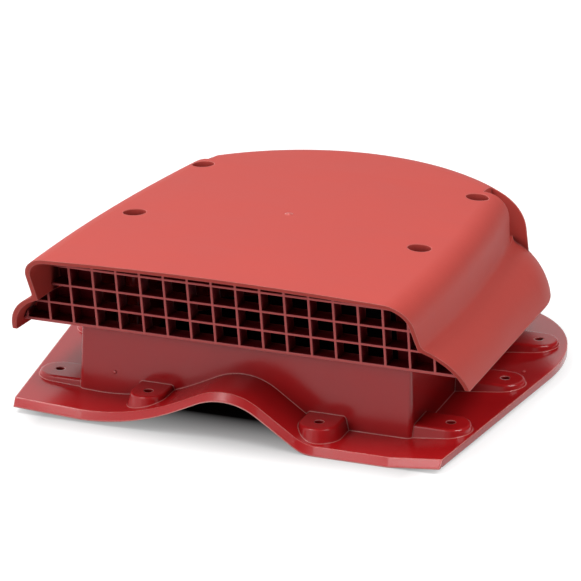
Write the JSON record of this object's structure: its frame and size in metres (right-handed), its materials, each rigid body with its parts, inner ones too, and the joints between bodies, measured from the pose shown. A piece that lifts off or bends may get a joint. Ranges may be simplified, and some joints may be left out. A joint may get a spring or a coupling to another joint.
{
  "type": "roof tile vent",
  "caption": "Low roof vent with a flange waved to suit profiled roof sheets, a square duct collar, an egg-crate grille across the front and a screwed-on domed hood.",
  "frame": {"origin": "centre of the bounding box in plan, at the lowest point of the flange, where it lies in the pan of the roof sheet", "axes": "+X across the roof, +Y up the slope, +Z away from the roof; the grille faces -Y"},
  "size_m": [0.3288, 0.3232, 0.116],
  "materials": {
    "base_plastic": "smooth glossy brick red, moulded right through",
    "grille_plastic": "smooth brick red",
    "hood_plastic": "satin brick red with a faint grain",
    "screw_coating": "red coated steel"
  },
  "bodies": {
    "root": {"base": "base_plastic", "grille": "grille_plastic", "hood": "hood_plastic", "hood_screws": "screw_coating"}
  },
  "joints": []
}
